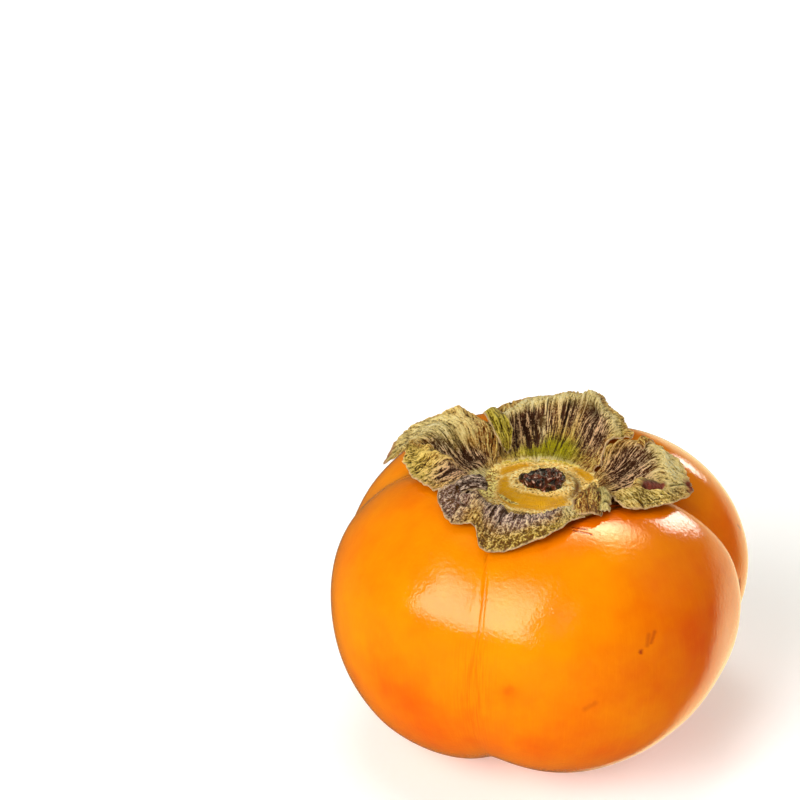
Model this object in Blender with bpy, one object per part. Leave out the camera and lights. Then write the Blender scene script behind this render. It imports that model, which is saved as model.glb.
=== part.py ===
"""Persimmon: a squat four-lobed fruit with its dried calyx, the broken stalk and the style remnant.

+Z runs up the fruit's axis and -Y is its front. The origin is the bottom centre of the fruit's box.
Lengths here are millimetres and angles are degrees; they become metres where a mesh is made.
An azimuth is 0 at the front and grows towards +X. A reach is a distance from the fruit's axis.
"""

import bmesh
import bpy
import numpy as np

MM = 0.001                      # metres in one millimetre

# Fruit: a turned shape with four shallow grooves, a basin under the calyx and a dimple below
EQUATOR_RADIUS = 38.8
EQUATOR_HEIGHT = 30.5
CROWN_HEIGHT = 57.5             # top of the turned shape on its axis, before the basin is sunk
FOOT_TRIM = 1.0                 # what the flat foot takes off the rounded underside
SHOULDER_FULLNESS = (0.80, 0.92)    # powers of the upper profile: reach, height (1 is an ellipse)
UNDERSIDE_FULLNESS = (0.86, 0.95)   # powers of the lower profile
BASIN_DEPTH = 9.6
BASIN_REACH = 17.0
DIMPLE_DEPTH = 3.0              # from the untrimmed underside
DIMPLE_REACH = 5.5
LOBE_SWELL = 0.9                # how far the four lobes stand out between the grooves
LOBE_AZIMUTH = 27.0             # azimuth of the first lobe; the others follow every 90 degrees
# Extra fullness (or slackness) low on a lobe: its azimuth, latitude, spread over each, and swell
LOW_BULGES = (
    {"centre": (-50.0, -42.0), "spread": (45.0, 26.0), "swell": 0.5},
    {"centre": (48.0, -48.0), "spread": (34.0, 20.0), "swell": -1.3},
)
GROOVE_HALF_WIDTH = 9.0         # at the equator; a groove spreads over more degrees near the axis
# Each groove: its azimuth low down, at the equator and on the shoulder, and its depth at the same places
GROOVES = (
    {"azimuth": (-22, -22, -21), "depth": (1.6, 0.5, 1.0)},
    {"azimuth": (92, 84, 76), "depth": (1.2, 2.6, 4.4)},
    {"azimuth": (163, 163, 163), "depth": (1.2, 2.0, 2.6)},
    {"azimuth": (-112, -100, -104), "depth": (1.0, 0.7, 1.8)},
)
GROOVE_LATITUDES = (-60, 0, 52)
FRUIT_SEGMENTS = 64
FRUIT_RINGS = 30

# Calyx disc: a shallow plate in the basin, with a boss below and a low mound round the stalk's socket
DISC_CENTRE = (-0.8, -1.5)
DISC_RADIUS = 11.0
DISC_RIM_HEIGHT = 51.6
DISC_FLOOR_HEIGHT = 50.9
DISC_UNDERSIDE_HEIGHT = 50.2
SOCKET_RADIUS = 4.9
MOUND_RADIUS = 6.0
MOUND_HEIGHT = 51.9
BOSS_RADIUS = 3.0
BOSS_FOOT_HEIGHT = 48.5
DISC_SEGMENTS = 48

# Calyx lobes: thin curled sheets that start just outside the disc
JOINT_GAP = 0.3                 # what neighbouring pieces keep between them
LOBE_THICKNESS = 0.6
LOBE_GRID = (28, 9)             # grid lines across and along a lobe
# Each station, across a lobe, is where it crests and where it ends: (azimuth, reach, height) twice
LOBE_STATIONS = {
    "calyx_lobe_front": (
        ((-58, 16.0, 56.2), (-58, 23.0, 56.1)),
        ((-48, 18.0, 57.0), (-46, 26.0, 55.2)),
        ((-39, 18.6, 56.9), (-38, 26.2, 54.2)),
        ((-33, 18.6, 56.8), (-32, 25.0, 54.4)),
        ((-26, 18.6, 56.6), (-25.5, 28.2, 51.9)),
        ((-17, 18.6, 56.4), (-17.5, 27.2, 51.9)),
        ((-6, 18.2, 56.3), (-4, 25.8, 54.1)),
        ((5, 18.0, 56.4), (5, 24.4, 55.2)),
        ((14, 16.6, 56.2), (14, 21.8, 56.1)),
        ((26, 14.4, 55.0), (25, 22.0, 56.2)),
    ),
    "calyx_lobe_right": (
        ((28.5, 14.4, 55.0), (28.5, 23.4, 56.2)),
        ((42, 17.5, 56.8), (43, 23.6, 55.5)),
        ((54, 20.0, 57.2), (57, 25.3, 54.3)),
        ((68, 21.5, 55.4), (75, 26.9, 52.8)),
        ((80, 20.5, 57.6), (80, 26.7, 53.6)),
        ((88, 19.5, 58.2), (88, 24.6, 55.8)),
        ((97, 17.5, 58.2), (95, 21.5, 57.2)),
        ((106, 14.8, 57.4), (100, 19.0, 57.6)),
        ((114, 12.6, 55.6), (108, 16.8, 57.2)),
    ),
    "calyx_lobe_back": (
        ((117, 13.8, 56.2), (115, 18.6, 56.8)),
        ((130, 16.5, 57.2), (131, 21.2, 56.2)),
        ((144, 18.8, 57.6), (145, 24.2, 55.8)),
        ((154, 21.5, 58.3), (156, 29.0, 56.2)),
        ((165, 21.5, 58.2), (166, 28.4, 56.0)),
        ((178, 20.0, 57.9), (177, 26.4, 55.9)),
        ((194, 17.5, 57.7), (191, 22.4, 56.4)),
        ((210, 14.8, 57.2), (206, 18.4, 58.2)),
        ((221, 12.6, 56.2), (218, 15.2, 59.0)),
    ),
    "calyx_lobe_left": (
        ((224, 13.5, 56.6), (222, 16.8, 57.8)),
        ((232, 16.0, 57.8), (226, 21.2, 58.8)),
        ((240, 19.0, 58.0), (244, 25.0, 57.8)),
        ((248, 20.5, 58.0), (257, 27.6, 56.8)),
        ((256, 22.0, 57.6), (269, 28.9, 54.8)),
        ((262, 23.3, 57.4), (262, 25.2, 56.4)),
        ((268, 20.6, 58.0), (268, 25.2, 55.3)),
        ((278, 18.3, 58.2), (280, 24.8, 55.2)),
        ((288, 16.8, 57.6), (292, 23.8, 55.6)),
        ((299.5, 15.6, 56.5), (299.5, 22.8, 56.1)),
    ),
}
# The slit in the right lobe: the first and last grid cells left open, across and along
SLIT_LOBE = "calyx_lobe_right"
SLIT_CELLS = ((10, 12), (2, 3))

# Broken stalk, an uneven stub with a hollow top, standing in the disc's socket
STUB_CENTRE = (0.0, -1.5)
STUB_RADIUS = 3.8
STUB_FOOT_HEIGHT = 51.2
STUB_TOP_HEIGHT = 53.4
STUB_HOLLOW = 0.9
STUB_UNEVENNESS = 0.09          # share of the radius
STUB_SEGMENTS = 24

# Style remnant, a dry point in the dimple, clear of the surface that the fruit stands on
REMNANT_RADIUS = 1.5
REMNANT_TIP_HEIGHT = 0.5
REMNANT_ROOF_HEIGHT = 1.8
REMNANT_SEGMENTS = 16

# Colour, roughness and metallic value of each piece
SKIN = ((0.93, 0.31, 0.01), 0.25, 0.0)
LOBE_TISSUE = ((0.29, 0.22, 0.11), 0.75, 0.0)
DISC_TISSUE = ((0.52, 0.36, 0.10), 0.60, 0.0)
STALK = ((0.08, 0.03, 0.02), 0.50, 0.0)


def ease(x):
    """A smooth step from 0 at x = 0 to 1 at x = 1."""
    x = np.clip(x, 0.0, 1.0)
    return x * x * (3.0 - 2.0 * x)


def turn_between(azimuth, centre):
    """The signed turn from one azimuth to another, within half a turn either way."""
    return (azimuth - centre + 180.0) % 360.0 - 180.0


def place(azimuth, reach, height):
    """Cartesian points from azimuth, reach and height."""
    angle = np.radians(azimuth)
    reach, height = np.broadcast_arrays(reach, height, subok=False)
    return np.stack([reach * np.sin(angle), -reach * np.cos(angle), height], -1)


def turned_profile(latitude):
    """Reach and height of the plain turned shape: a quarter superellipse above and one below."""
    angle = np.radians(latitude)
    upper = latitude > 0
    across = np.abs(np.cos(angle))
    along = np.abs(np.sin(angle))
    reach = EQUATOR_RADIUS * np.where(upper, across ** SHOULDER_FULLNESS[0], across ** UNDERSIDE_FULLNESS[0])
    rise = (CROWN_HEIGHT - EQUATOR_HEIGHT) * along ** SHOULDER_FULLNESS[1]
    drop = (EQUATOR_HEIGHT + FOOT_TRIM) * along ** UNDERSIDE_FULLNESS[1]
    return reach, EQUATOR_HEIGHT + np.where(upper, rise, -drop)


def fruit_surface(azimuth, latitude):
    """The skin: the turned shape pushed out along its normal by the lobes and in by the grooves."""
    step = 0.05
    reach, height = turned_profile(latitude)
    reach_before, height_before = turned_profile(np.maximum(latitude - step, -90.0))
    reach_after, height_after = turned_profile(np.minimum(latitude + step, 90.0))
    run = np.hypot(reach_after - reach_before, height_after - height_before)
    normal_reach = (height_after - height_before) / run
    normal_height = (reach_before - reach_after) / run

    share = reach / EQUATOR_RADIUS
    fade = np.where(latitude > 0, ease((share - 0.12) / 0.40), ease(share / 0.55))
    push = LOBE_SWELL * np.cos(np.radians(4.0 * (azimuth - LOBE_AZIMUTH))) * fade
    for groove in GROOVES:
        centre = np.interp(latitude, GROOVE_LATITUDES, groove["azimuth"])
        depth = np.interp(latitude, GROOVE_LATITUDES, groove["depth"])
        half_width = GROOVE_HALF_WIDTH / np.sqrt(np.maximum(share, 0.05))
        across = np.abs(turn_between(azimuth, centre)) / half_width
        push = push - depth * np.exp(-across ** 1.6) * fade
    for bulge in LOW_BULGES:
        across = turn_between(azimuth, bulge["centre"][0]) / bulge["spread"][0]
        along = (latitude - bulge["centre"][1]) / bulge["spread"][1]
        push = push + bulge["swell"] * np.exp(-across ** 2 - along ** 2)

    reach = reach + normal_reach * push
    height = height + normal_height * push
    basin = BASIN_DEPTH * np.exp(-(reach / BASIN_REACH) ** 4)
    dimple = DIMPLE_DEPTH * np.exp(-(reach / DIMPLE_REACH) ** 2)
    height = np.where(latitude > 0, height - basin, np.maximum(height + dimple, 0.0))
    return place(azimuth, reach, height)


def through(stops, where):
    """Smooth interpolation through rows of points (Catmull-Rom); where runs from 0 to 1."""
    stops = np.concatenate([[2 * stops[0] - stops[1]], stops, [2 * stops[-1] - stops[-2]]])
    spans = len(stops) - 3
    place_on = np.asarray(where) * spans
    first = np.minimum(place_on.astype(int), spans - 1)
    t = (place_on - first).reshape(-1, *([1] * (stops.ndim - 1)))
    before, start, end, after = stops[first], stops[first + 1], stops[first + 2], stops[first + 3]
    bend = 2 * before - 5 * start + 4 * end - after
    twist = 3 * start - before - 3 * end + after
    return 0.5 * (2 * start + (end - before) * t + bend * t ** 2 + twist * t ** 3)


def lobe_surface(stations, across, along):
    """A calyx lobe's upper face: a smooth sheet from the disc's rim over each crest to each end."""
    rails = []
    for crest, end in stations:
        rim = place(crest[0], DISC_RADIUS + JOINT_GAP, DISC_RIM_HEIGHT) + np.array([*DISC_CENTRE, 0.0])
        top = place(*crest)
        slope = (rim + top) / 2
        middle = [(crest[i] + end[i]) / 2 for i in range(3)]
        droops = crest[2] > end[2] - 0.5
        shoulder = place(middle[0], middle[1] + 0.2, middle[2] + (0.35 if droops else 0.0))
        rails.append([rim, slope, top, shoulder, place(*end)])
    along_rails = through(np.swapaxes(np.array(rails), 0, 1), along)
    return through(np.swapaxes(along_rails, 0, 1), across)


def material(name, colour, roughness, metallic):
    """A Principled material with one colour."""
    made = bpy.data.materials.new(name)
    made.use_nodes = True
    shader = made.node_tree.nodes["Principled BSDF"]
    shader.inputs["Base Color"].default_value = (*colour, 1.0)
    shader.inputs["Roughness"].default_value = roughness
    shader.inputs["Metallic"].default_value = metallic
    return made


def new_piece(name, points, faces, look, axis):
    """An object made of points in millimetres, shaded smooth and hung on the fruit's axis."""
    mesh = bpy.data.meshes.new(name)
    mesh.from_pydata(np.asarray(points) * MM, [], faces)
    mesh.validate()
    solid = bmesh.new()
    solid.from_mesh(mesh)
    bmesh.ops.recalc_face_normals(solid, faces=solid.faces)
    solid.to_mesh(mesh)
    solid.free()
    mesh.shade_smooth()
    mesh.materials.append(material(name, *look))
    piece = bpy.data.objects.new(name, mesh)
    bpy.context.scene.collection.objects.link(piece)
    piece.parent = axis
    return piece


def closed_rings(rings):
    """Points and faces of a solid through rings of points, its first and last ring closed by a fan."""
    count, segments = rings.shape[:2]
    poles = [rings[0].mean(axis=0), rings[-1].mean(axis=0)]
    points = np.concatenate([rings.reshape(-1, 3), poles])
    faces = []
    for ring in range(count - 1):
        for seg in range(segments):
            after = (seg + 1) % segments
            low, high = ring * segments, (ring + 1) * segments
            faces.append((low + seg, low + after, high + after, high + seg))
    for seg in range(segments):
        after = (seg + 1) % segments
        faces.append((after, seg, count * segments))
        faces.append(((count - 1) * segments + seg, (count - 1) * segments + after, count * segments + 1))
    return points, faces


def turned(profile, segments, centre=(0.0, 0.0)):
    """Points and faces of a solid turned from a profile of (reach, height) pairs, bottom to top."""
    azimuth = np.arange(segments) * 360.0 / segments
    rings = [place(azimuth, np.full(segments, reach), height) for reach, height in profile]
    return closed_rings(np.array(rings) + np.array([*centre, 0.0]))


def fruit_rings():
    """The skin's rings, closer together near the foot and the basin."""
    azimuth = np.arange(FRUIT_SEGMENTS) * 360.0 / FRUIT_SEGMENTS
    step = np.linspace(-1.0, 1.0, FRUIT_RINGS + 2)[1:-1]
    latitude = 90.0 * (0.9 * np.sin(np.pi / 2 * step) + 0.1 * step)
    grid_latitude, grid_azimuth = np.meshgrid(latitude, azimuth, indexing="ij")
    return fruit_surface(grid_azimuth, grid_latitude)


def make_fruit(axis):
    return new_piece("fruit_body", *closed_rings(fruit_rings()), SKIN, axis)


def make_disc(axis):
    profile = (
        (BOSS_RADIUS, BOSS_FOOT_HEIGHT),
        (BOSS_RADIUS + 0.6, DISC_UNDERSIDE_HEIGHT),
        (DISC_RADIUS * 0.72, DISC_UNDERSIDE_HEIGHT),
        (DISC_RADIUS - 0.2, DISC_RIM_HEIGHT - LOBE_THICKNESS),
        (DISC_RADIUS, DISC_RIM_HEIGHT - 0.2),
        (DISC_RADIUS - 0.3, DISC_RIM_HEIGHT),
        ((DISC_RADIUS + MOUND_RADIUS) / 2, (DISC_RIM_HEIGHT + DISC_FLOOR_HEIGHT) / 2),
        (MOUND_RADIUS + 0.9, MOUND_HEIGHT - 0.5),
        (MOUND_RADIUS, MOUND_HEIGHT),
        (MOUND_RADIUS - 0.7, MOUND_HEIGHT - 0.2),
        (SOCKET_RADIUS, DISC_FLOOR_HEIGHT),
        (SOCKET_RADIUS / 2, DISC_FLOOR_HEIGHT),
    )
    return new_piece("calyx_disc", *turned(profile, DISC_SEGMENTS, DISC_CENTRE), DISC_TISSUE, axis)


def make_lobe(name, axis):
    """A lobe as a sheet of quads, thickened downwards; the slit's cells are left open."""
    across_count, along_count = LOBE_GRID
    across = np.linspace(0.0, 1.0, across_count)
    along = np.linspace(0.0, 1.0, along_count)
    points = lobe_surface(LOBE_STATIONS[name], across, along).reshape(-1, 3)
    faces = []
    for i in range(across_count - 1):
        for j in range(along_count - 1):
            in_slit = all(first <= cell <= last for cell, (first, last) in zip((i, j), SLIT_CELLS))
            if name == SLIT_LOBE and in_slit:
                continue
            corner = i * along_count + j
            faces.append((corner, corner + 1, corner + along_count + 1, corner + along_count))
    lobe = new_piece(name, points, faces, LOBE_TISSUE, axis)
    if lobe.data.polygons[0].normal.z < 0:
        lobe.data.flip_normals()
    sheet = lobe.modifiers.new("thickness", "SOLIDIFY")
    sheet.thickness = LOBE_THICKNESS * MM
    sheet.offset = -1.0
    return lobe


def make_stub(axis):
    """The stalk: rings whose radius wavers with azimuth, the last ones sunk to leave a hollow."""
    azimuth = np.arange(STUB_SEGMENTS) * 360.0 / STUB_SEGMENTS
    angle = np.radians(azimuth)
    waver = 1.0 + STUB_UNEVENNESS * (0.6 * np.sin(3 * angle + 0.7) + 0.4 * np.sin(7 * angle + 2.0))
    body = STUB_TOP_HEIGHT - STUB_FOOT_HEIGHT
    levels = (
        (0.94, STUB_FOOT_HEIGHT),
        (1.00, STUB_FOOT_HEIGHT + 0.35 * body),
        (0.96, STUB_FOOT_HEIGHT + 0.75 * body),
        (0.84, STUB_TOP_HEIGHT),
        (0.64, STUB_TOP_HEIGHT - 0.15),
        (0.42, STUB_TOP_HEIGHT - STUB_HOLLOW),
    )
    rings = np.array([place(azimuth, STUB_RADIUS * share * waver, height) for share, height in levels])
    return new_piece("stem_stub", *closed_rings(rings + np.array([*STUB_CENTRE, 0.0])), STALK, axis)


def make_remnant(axis):
    """The style remnant: a small point whose wide end is against the dimple's roof."""
    length = REMNANT_ROOF_HEIGHT - REMNANT_TIP_HEIGHT
    profile = (
        (0.25 * REMNANT_RADIUS, REMNANT_TIP_HEIGHT),
        (0.60 * REMNANT_RADIUS, REMNANT_TIP_HEIGHT + 0.40 * length),
        (REMNANT_RADIUS, REMNANT_TIP_HEIGHT + 0.85 * length),
        (0.90 * REMNANT_RADIUS, REMNANT_ROOF_HEIGHT),
    )
    return new_piece("style_remnant", *turned(profile, REMNANT_SEGMENTS), STALK, axis)


def main():
    for old in list(bpy.data.objects):
        bpy.data.objects.remove(old)
    rings = fruit_rings()
    middle = (rings.min(axis=(0, 1)) + rings.max(axis=(0, 1))) / 2
    axis = bpy.data.objects.new("fruit_axis", None)
    axis.location = (-middle[0] * MM, -middle[1] * MM, 0.0)
    bpy.context.scene.collection.objects.link(axis)
    make_fruit(axis)
    make_disc(axis)
    for name in LOBE_STATIONS:
        make_lobe(name, axis)
    make_stub(axis)
    make_remnant(axis)


main()
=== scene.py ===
"""Looks of the persimmon: its waxy skin, dried calyx lobes and disc, broken stalk and style remnant.

Shapes are worked out in millimetres and degrees and become metres where a mesh is made. An azimuth is
0 at the front (-Y) and grows towards +X. A reach is a distance from the fruit's axis.
"""

import math

import bpy
import numpy as np
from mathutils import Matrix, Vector


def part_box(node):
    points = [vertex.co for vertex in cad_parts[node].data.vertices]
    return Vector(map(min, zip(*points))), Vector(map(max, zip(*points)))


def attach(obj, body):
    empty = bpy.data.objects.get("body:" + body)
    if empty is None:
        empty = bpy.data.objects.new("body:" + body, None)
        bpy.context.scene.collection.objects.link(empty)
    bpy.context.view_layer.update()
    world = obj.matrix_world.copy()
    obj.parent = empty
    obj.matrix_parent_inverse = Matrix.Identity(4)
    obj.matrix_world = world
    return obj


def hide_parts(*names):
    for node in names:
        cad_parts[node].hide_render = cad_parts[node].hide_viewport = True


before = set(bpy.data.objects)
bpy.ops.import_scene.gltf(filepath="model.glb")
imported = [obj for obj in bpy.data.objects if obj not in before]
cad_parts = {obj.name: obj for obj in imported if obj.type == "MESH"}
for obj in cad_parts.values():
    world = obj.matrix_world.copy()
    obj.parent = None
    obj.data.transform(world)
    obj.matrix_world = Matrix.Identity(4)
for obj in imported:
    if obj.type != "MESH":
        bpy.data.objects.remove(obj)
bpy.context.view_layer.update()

MM = 0.001                      # metres in one millimetre

# Fruit
EQUATOR_RADIUS = 38.8
EQUATOR_HEIGHT = 30.5
CROWN_HEIGHT = 57.5
FOOT_TRIM = 1.0
SHOULDER_FULLNESS = (0.80, 0.92)
UNDERSIDE_FULLNESS = (0.86, 0.95)
BASIN_DEPTH = 9.6
BASIN_REACH = 17.0
DIMPLE_DEPTH = 3.0
DIMPLE_REACH = 5.5
LOBE_SWELL = 0.9
LOBE_AZIMUTH = 27.0
# Bulges and hollows of the skin: centre as (azimuth, latitude), spread over each, how far it swells
BULGES = (
    ((-50.0, -42.0), (45.0, 26.0), 0.5),
    ((48.0, -48.0), (34.0, 20.0), -1.3),
    ((66.0, -2.0), (18.0, 26.0), -0.9),
    ((106.0, -6.0), (16.0, 22.0), 1.1),
)
# Grooves: azimuth and depth at each of the latitudes below, half-width to either side
GROOVES = (
    ((-22, -22, -21), (1.6, 0.5, 0.65), (7.5, 9.0)),
    ((92, 86, 82), (1.2, 3.0, 4.6), (6.5, 9.0)),
    ((163, 163, 163), (1.2, 2.0, 2.6), (9.0, 9.0)),
    ((-112, -100, -104), (1.0, 0.7, 1.8), (9.0, 9.0)),
)
GROOVE_LATITUDES = (-60, 0, 52)
# A narrow seam runs down the front groove: its azimuth at each latitude
SEAM_LATITUDES = (-18, 0, 10, 22, 32, 39, 50)
SEAM_AZIMUTHS = (-21.2, -21.5, -20.2, -19.8, -20.5, -21.5, -23.8)
SEAM_HALF_WIDTH = 0.7
SEAM_DEPTH = 0.14
SEAM_STRENGTH = ((-70, 0, 20, 60), (0.2, 0.25, 1.0, 1.0))    # at each latitude its share of the depth

# Calyx disc and stalk
DISC_CENTRE = np.array([-0.8, -1.5, 0.0])
DISC_RADIUS = 11.0
DISC_RIM_HEIGHT = 51.6
STUB_CENTRE = np.array([0.0, -1.5, 0.0])
STUB_RADIUS = 3.8
STUB_FOOT_HEIGHT = 51.2
STUB_TOP_HEIGHT = 53.4
REMNANT_TIP_HEIGHT = 0.5
REMNANT_ROOF_HEIGHT = 1.8
REMNANT_RADIUS = 1.5

# Calyx lobes: at each station across a lobe its crest and its end, as (azimuth, reach, height)
JOINT_GAP = 0.3
BOWL_SAG = 1.3
LOBE_STATIONS = {
    "calyx_lobe_front": (
        ((-58, 16.0, 56.2), (-58, 23.0, 56.1)), ((-48, 18.0, 56.7), (-46, 26.0, 55.2)),
        ((-39, 18.8, 56.2), (-38, 26.2, 54.2)), ((-33, 19.0, 55.6), (-32, 25.0, 54.4)),
        ((-26, 19.2, 55.2), (-25.5, 28.2, 51.9)), ((-17, 19.2, 54.9), (-17.5, 27.2, 51.9)),
        ((-6, 18.8, 54.8), (-4, 25.8, 54.1)), ((5, 18.2, 55.1), (5, 24.4, 55.2)),
        ((14, 16.6, 55.4), (14, 21.8, 56.1)), ((26, 14.4, 55.0), (25, 22.0, 56.2)),
    ),
    "calyx_lobe_right": (
        ((28.5, 14.4, 55.0), (28.5, 23.4, 56.2)), ((42, 17.5, 56.8), (43, 23.6, 55.5)),
        ((54, 20.0, 57.2), (57, 25.3, 54.3)), ((68, 21.5, 55.4), (75, 26.9, 52.8)),
        ((80, 20.5, 57.6), (80, 26.7, 53.6)), ((88, 19.5, 58.2), (88, 24.6, 55.8)),
        ((97, 17.5, 58.2), (95, 21.5, 57.2)), ((106, 14.8, 57.4), (100, 19.0, 57.6)),
        ((114, 12.6, 55.6), (108, 16.8, 57.2)),
    ),
    "calyx_lobe_back": (
        ((117, 13.8, 56.2), (115, 18.6, 56.8)), ((130, 16.5, 57.2), (131, 21.2, 56.2)),
        ((144, 18.8, 57.6), (145, 24.2, 55.8)), ((154, 21.5, 58.3), (156, 29.0, 56.2)),
        ((165, 21.5, 58.2), (166, 28.4, 56.0)), ((178, 20.0, 57.9), (177, 26.4, 55.9)),
        ((194, 17.5, 57.7), (191, 22.4, 56.4)), ((210, 14.8, 57.2), (206, 18.4, 58.2)),
        ((221, 12.6, 56.2), (218, 15.2, 59.0)),
    ),
    "calyx_lobe_left": (
        ((224, 13.5, 56.6), (222, 16.8, 57.8)), ((232, 16.0, 57.8), (226, 21.2, 58.8)),
        ((240, 19.0, 58.0), (244, 25.0, 57.8)), ((248, 20.5, 58.0), (257, 27.6, 56.8)),
        ((256, 22.0, 57.6), (269, 28.9, 54.8)), ((262, 23.3, 57.4), (262, 25.2, 56.4)),
        ((268, 20.6, 58.0), (268, 25.2, 55.3)), ((278, 18.3, 58.2), (280, 24.8, 55.2)),
        ((288, 16.8, 57.6), (292, 23.8, 55.6)), ((299.5, 15.6, 56.5), (299.5, 22.8, 56.1)),
    ),
}
# How much of each lobe's width the dried leaf still covers
LOBE_SPANS = {
    "calyx_lobe_front": (0.0, 0.915),
    "calyx_lobe_right": (0.075, 1.0),
    "calyx_lobe_back": (0.0, 1.0),
    "calyx_lobe_left": (-0.05, 1.0),
}
# Patches of colour on the lobes: which mask, its centre across and along the lobe, its spread, its strength
LOBE_PATCHES = {
    "calyx_lobe_front": (
        ("ash", (0.08, 0.70), (0.17, 0.60), 1.0), ("ash", (0.54, 0.52), (0.38, 0.26), 1.1),
        ("purple", (0.45, 0.42), (0.26, 0.14), 0.8), ("olive", (0.62, 0.98), (0.34, 0.24), 0.9),
        ("brown", (0.42, 0.94), (0.16, 0.22), 0.55), ("sandy", (0.55, 0.98), (0.45, 0.30), 1.1),
        ("sandy", (0.08, 0.80), (0.14, 0.40), 0.8), ("pale", (0.86, 0.68), (0.09, 0.22), 0.8),
    ),
    "calyx_lobe_right": (
        ("brown", (0.72, 0.12), (0.36, 0.24), 1.2), ("purple", (0.64, 0.28), (0.30, 0.22), 1.4),
        ("pale", (0.55, 0.72), (0.20, 0.26), 1.3), ("pale", (0.14, 0.72), (0.16, 0.34), 0.4),
        ("olive", (0.20, 0.76), (0.18, 0.30), 0.9), ("maroon", (0.44, 1.00), (0.07, 0.12), 1.2),
        ("brown", (0.86, 0.55), (0.10, 0.10), 0.9),
    ),
    "calyx_lobe_back": (
        ("green", (0.52, 0.06), (0.30, 0.18), 1.2), ("pale", (0.60, -0.06), (0.40, 0.06), 1.2),
        ("purple", (0.70, 0.31), (0.20, 0.18), 1.2), ("purple", (0.25, 0.36), (0.17, 0.20), 1.2),
        ("brown", (0.12, 0.26), (0.17, 0.32), 1.3), ("purple", (0.48, 0.38), (0.12, 0.14), 0.8),
        ("olive", (0.48, 0.34), (0.05, 0.16), 0.5), ("pale", (0.60, 0.62), (0.50, 0.15), 1.5),
        ("olive", (0.10, 0.66), (0.16, 0.20), 1.0), ("pale", (0.62, 0.30), (0.03, 0.14), 0.5),
    ),
    "calyx_lobe_left": (
        ("olive", (0.34, 0.75), (0.22, 0.36), 1.0), ("pale", (0.30, 0.66), (0.22, 0.34), 1.0),
        ("brown", (0.04, 0.40), (0.09, 0.40), 0.9), ("purple", (0.44, 0.32), (0.12, 0.15), 1.3),
        ("purple", (0.26, 0.18), (0.18, 0.13), 1.7), ("maroon", (0.40, 1.02), (0.06, 0.08), 1.0),
        ("pale", (0.50, -0.02), (0.30, 0.09), 2.0), ("olive", (0.72, 0.86), (0.20, 0.26), 1.2),
        ("brown", (0.78, 0.66), (0.14, 0.22), 0.5), ("purple", (0.93, 0.62), (0.09, 0.28), 1.1),
    ),
}
MASKS = ("purple", "green", "olive", "pale", "brown", "ash", "maroon", "sandy")
# Furrows: where each starts and ends, across and along the lobe, its half-width and depth in millimetres;
# each line is also painted with shade
LOBE_FURROWS = {
    "calyx_lobe_front": (
        ((0.50, 0.40), (0.47, 0.72), 0.22, 0.7), ((0.42, 0.45), (0.41, 0.66), 0.20, 0.6),
        ((0.36, 0.45), (0.37, 0.62), 0.20, 0.6), ((0.60, 0.42), (0.58, 0.58), 0.18, 0.5),
        ((0.70, 0.42), (0.67, 0.56), 0.18, 0.4), ((0.20, 0.58), (0.04, 0.66), 0.20, 0.6),
        ((0.22, 0.72), (0.06, 0.78), 0.18, 0.4), ((0.02, 0.60), (0.12, 0.55), 0.22, 0.6),
    ),
    "calyx_lobe_right": (
        ((0.16, 0.92), (0.34, 0.98), 0.14, 0.4), ((0.22, 0.88), (0.37, 0.92), 0.14, 0.4),
        ((0.08, 0.72), (0.16, 0.84), 0.14, 0.4), ((0.16, 0.70), (0.24, 0.86), 0.14, 0.4),
        ((0.37, 0.64), (0.45, 0.98), 0.22, 0.7), ((0.56, 0.62), (0.52, 0.88), 0.14, 0.4),
    ),
    "calyx_lobe_back": (
        ((0.49, 0.48), (0.50, 0.08), 0.14, 0.7), ((0.43, 0.38), (0.44, 0.22), 0.12, 0.5),
        ((0.66, 0.46), (0.655, 0.28), 0.10, 0.4), ((0.71, 0.42), (0.705, 0.20), 0.10, 0.4),
        ((0.76, 0.44), (0.75, 0.14), 0.10, 0.4), ((0.60, 0.50), (0.60, 0.36), 0.13, 0.4),
        ((0.12, 0.50), (0.16, 0.10), 0.16, 0.5), ((0.20, 0.45), (0.24, 0.12), 0.16, 0.5),
        ((0.28, 0.42), (0.31, 0.12), 0.14, 0.4),
    ),
    "calyx_lobe_left": (
        ((0.40, 0.90), (0.42, 0.45), 0.18, 0.6), ((0.30, 0.80), (0.34, 0.30), 0.16, 0.5),
        ((0.22, 0.70), (0.26, 0.25), 0.16, 0.5), ((0.55, 0.60), (0.52, 0.15), 0.30, 0.9),
        ((0.70, 0.55), (0.62, 0.20), 0.25, 0.8), ((0.92, 0.80), (0.90, 0.40), 0.20, 0.6),
    ),
}
# Hollows and swells pressed into the lobes: centre across and along, spread in millimetres, rise; hollows
# deeper than 1 mm are also painted with shade
LOBE_DENTS = {
    "calyx_lobe_front": (((0.20, 0.58), (1.6, 1.2), 0.9),),
    "calyx_lobe_right": (((0.43, 0.60), (0.8, 3.0), 0.5),),
    "calyx_lobe_back": (((0.335, 0.45), (2.4, 0.75), -1.4), ((0.36, 0.62), (2.6, 0.9), 0.3)),
    "calyx_lobe_left": (((0.62, 0.75), (0.9, 3.0), -0.8),),
}
# The torn slit in the right lobe: its middle and half-width across; its rim and bed along; how far
# the rim rises and the bed sinks
SLIT_ACROSS = (0.315, 0.065)
SLIT_ALONG = (0.45, 0.61)
SLIT_RIM = 1.2
SLIT_DEPTH = 1.3

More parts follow.
